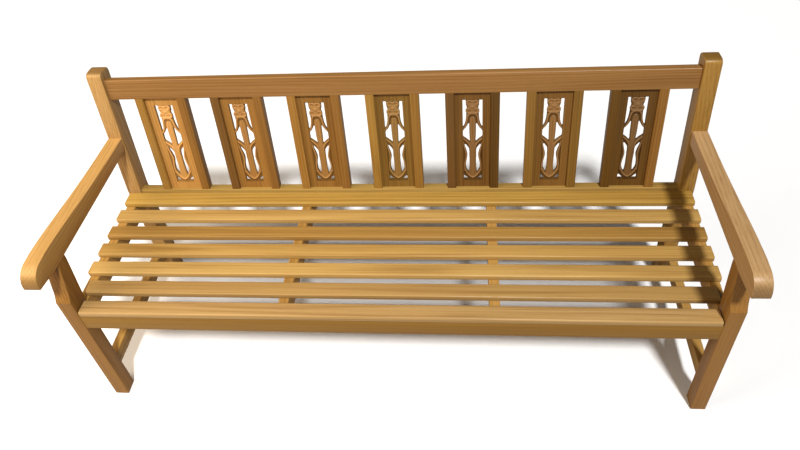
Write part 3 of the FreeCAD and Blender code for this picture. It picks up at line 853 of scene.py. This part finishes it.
def makePanels():
    low, high = leanBox("carved_panel_4")
    bottom = leanBox("lower_back_rail")[1].z
    top = leanBox("top_back_rail")[0].z
    # The edges of the board run on into the grooves of the stiles and rails
    lap, gap, halfOpen = carving["boardLap"], carving["sideGap"], carving["halfOpen"] * mm
    board = addBlock("panelBoard", (low.x + gap, low.y, bottom - lap),
                     (high.x - gap, high.y, top + lap))
    floorLine = bottom + carving["margin"] * mm
    inset = high.x - gap - halfOpen
    choose(board, lambda f: abs(f.normal.y) > 0.9, "FACE")
    bpy.ops.mesh.inset(thickness=inset, use_even_offset=True)
    halfTall = (top - bottom) / 2 + lap - inset
    centre = (top + bottom) / 2
    for isTop in (True, False):
        now = centre + (halfTall if isTop else -halfTall)
        wanted = floorLine + (carving["tall"] * carving["stretch"] * mm if isTop else 0)
        choose(board, lambda v: abs(v.co.z - now) < mm
               and abs(v.co.x) < halfOpen + mm, "VERT")
        bpy.ops.transform.translate(value=(0, 0, wanted - now))
    choose(board, lambda f: abs(f.normal.y) > 0.9
           and abs(f.calc_center_median().x) < mm
           and abs(f.calc_center_median().z - centre) < 20 * mm
           and max(abs(v.co.x) for v in f.verts) < halfOpen + mm, "FACE")
    bpy.ops.mesh.bridge_edge_loops()
    rounded(board, carving["openRound"],
            lambda e: max(abs(v.co.x) for v in e.verts) < halfOpen + mm
            and not edgeRuns(e, 1), 2)
    figure = makeFigure(low.y, high.y - carving["backInset"], floorLine)
    clearAll()
    figure.select_set(True)
    board.select_set(True)
    bpy.context.view_layer.objects.active = board
    bpy.ops.object.join()
    for index, tone in enumerate(carving["tones"]):
        node = "carved_panel_%d" % (index + 1)
        away = (leanBox(node)[0].x + leanBox(node)[1].x) / 2
        clearAll()
        board.select_set(True)
        bpy.context.view_layer.objects.active = board
        bpy.ops.object.duplicate()
        panel = bpy.context.object
        panel.name = panel.data.name = "carvedPanel%d" % (index + 1)
        panel.location.x = away
        bpy.ops.object.transform_apply(location=True, rotation=True, scale=True)
        finishPiece(panel, teakFinish("teakPanel%d" % (index + 1), "Z", tone, leaning=True,
                                      seed=100 + index, carved=(away, low.y, floorLine)),
                    "wood_carved", node, leaning=True, angle=40)
    clearAll()
    bpy.data.objects.remove(board)
    print("panels carved")


def finishScrews():
    screws = nodes["seat_screws"].data
    screws.materials.clear()
    screws.materials.append(steelFinish("plainSteel"))
    print("screws finished")


for make in (makeSlats, makeRails, makeStiles, makeLegs, makePosts, makeArms, makePanels,
             finishScrews):
    make()

# Floor and light; sun and fill are the places the lamps shine from
studio = {
    "floor": (0.98, 0.98, 0.98),
    "floorBounce": (0.50, 0.47, 0.43),
    "floorSize": 30,
    "sun": (0.22, -0.62, 1.0),
    "sunAngle": 6,
    "sunPower": 3.35,
    "fill": (-2.0, -0.8, 2.1),
    "fillSize": 2.2,
    "fillPower": 55,
    "fillColour": (1.0, 0.84, 0.66),
    "fillAim": (0, 0, 0.45),
    "sky": 0.08,
}


def makeStudio():
    clearAll()
    bpy.ops.mesh.primitive_plane_add(size=studio["floorSize"], location=(0, 0, 0))
    floor = bpy.context.object
    floor.name = "floor"
    recipe = Recipe("floorFinish")
    seen = recipe.node("LightPath", output=0)
    recipe.feed("Base Color", recipe.mix(seen, (*studio["floorBounce"], 1),
                                         (*studio["floor"], 1)))
    recipe.feed("Roughness", 1.0)
    recipe.feed("Specular IOR Level", 0.0)
    floor.data.materials.append(recipe.material)

    for kind, title in (("SUN", "sun"), ("AREA", "fill")):
        lamp = bpy.data.lights.new(title, kind)
        lamp.energy = studio[title + "Power"]
        holder = bpy.data.objects.new(title, lamp)
        bpy.context.scene.collection.objects.link(holder)
        place = Vector(studio[title])
        holder.location = place
        if kind == "SUN":
            lamp.angle = math.radians(studio["sunAngle"])
            aim = -place
        else:
            lamp.shape = "DISK"
            lamp.size = studio["fillSize"]
            lamp.color = studio["fillColour"]
            aim = Vector(studio["fillAim"]) - place
        holder.rotation_euler = aim.to_track_quat("-Z", "Y").to_euler()

    world = bpy.data.worlds.new("studio")
    bpy.context.scene.world = world
    world.use_nodes = True
    tree = world.node_tree
    sky = tree.nodes["Background"]
    sky.inputs["Color"].default_value = (1, 1, 1, 1)
    seen = Flow(tree, tree.nodes.new("ShaderNodeLightPath").outputs[0])
    strength = seen * (1 - studio["sky"]) + studio["sky"]
    tree.links.new(strength.socket, sky.inputs["Strength"])
    bpy.context.scene.view_settings.view_transform = "Standard"
    print("studio ready")


makeStudio()
clearAll()
